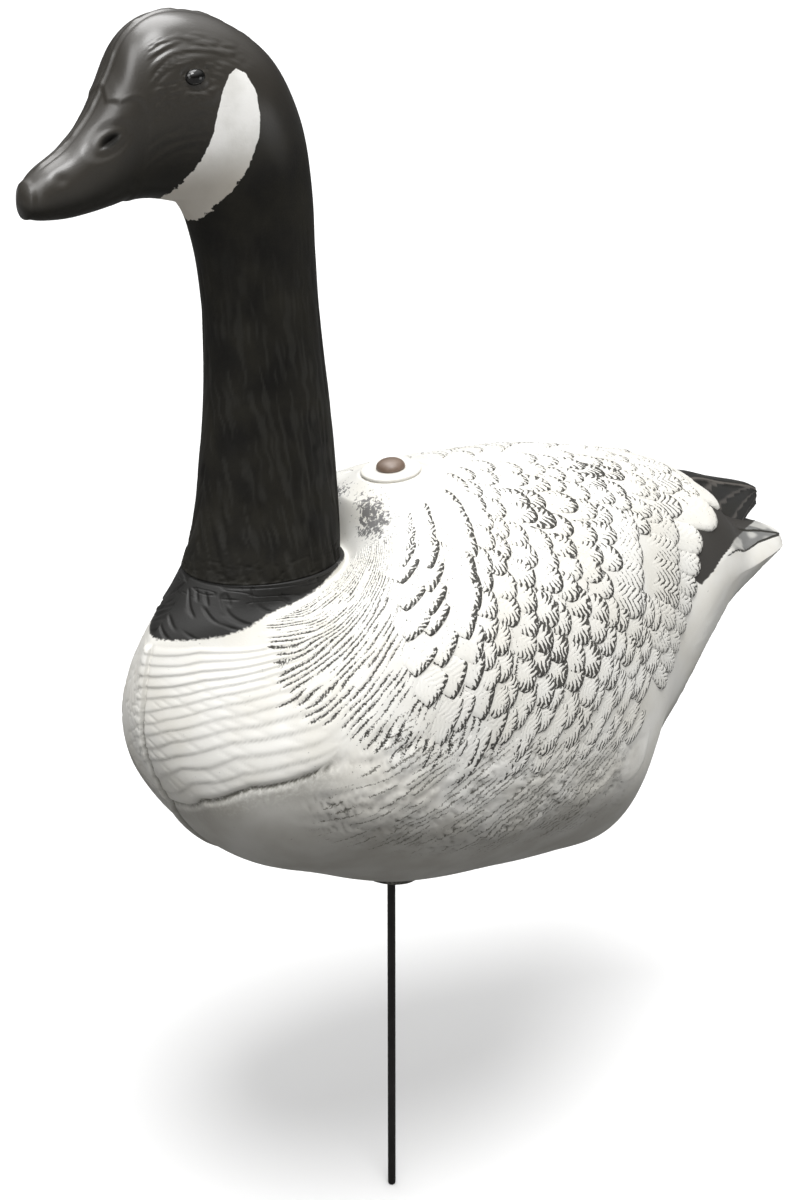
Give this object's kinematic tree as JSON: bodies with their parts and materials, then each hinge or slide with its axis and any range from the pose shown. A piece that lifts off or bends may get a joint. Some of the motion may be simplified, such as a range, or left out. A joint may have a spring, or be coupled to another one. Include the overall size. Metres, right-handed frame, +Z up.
{
  "type": "goose garden decoy on a ground stake",
  "caption": "Moulded plastic goose with upright neck, carved feather rows and folded wings, held up off the ground on a thin steel stake through its body.",
  "frame": {"origin": "centre of the stake's flat foot, where it meets the ground", "axes": "+Z up along the stake, -X the way the goose faces, -Y out of its left flank"},
  "size_m": [0.645, 0.288, 0.905],
  "materials": {
    "white_plastic": "matt white with a dark wash in the carved feathers",
    "black_plastic": "satin black with white cheek patches",
    "black_steel": "black painted steel rod",
    "washer_plastic": "plain matt white",
    "brown_plastic": "satin brown"
  },
  "bodies": {
    "root": {"body": "white_plastic", "head_and_neck": "black_plastic", "stake": "black_steel", "back_washer": "washer_plastic", "stake_cap": "brown_plastic"}
  },
  "joints": []
}
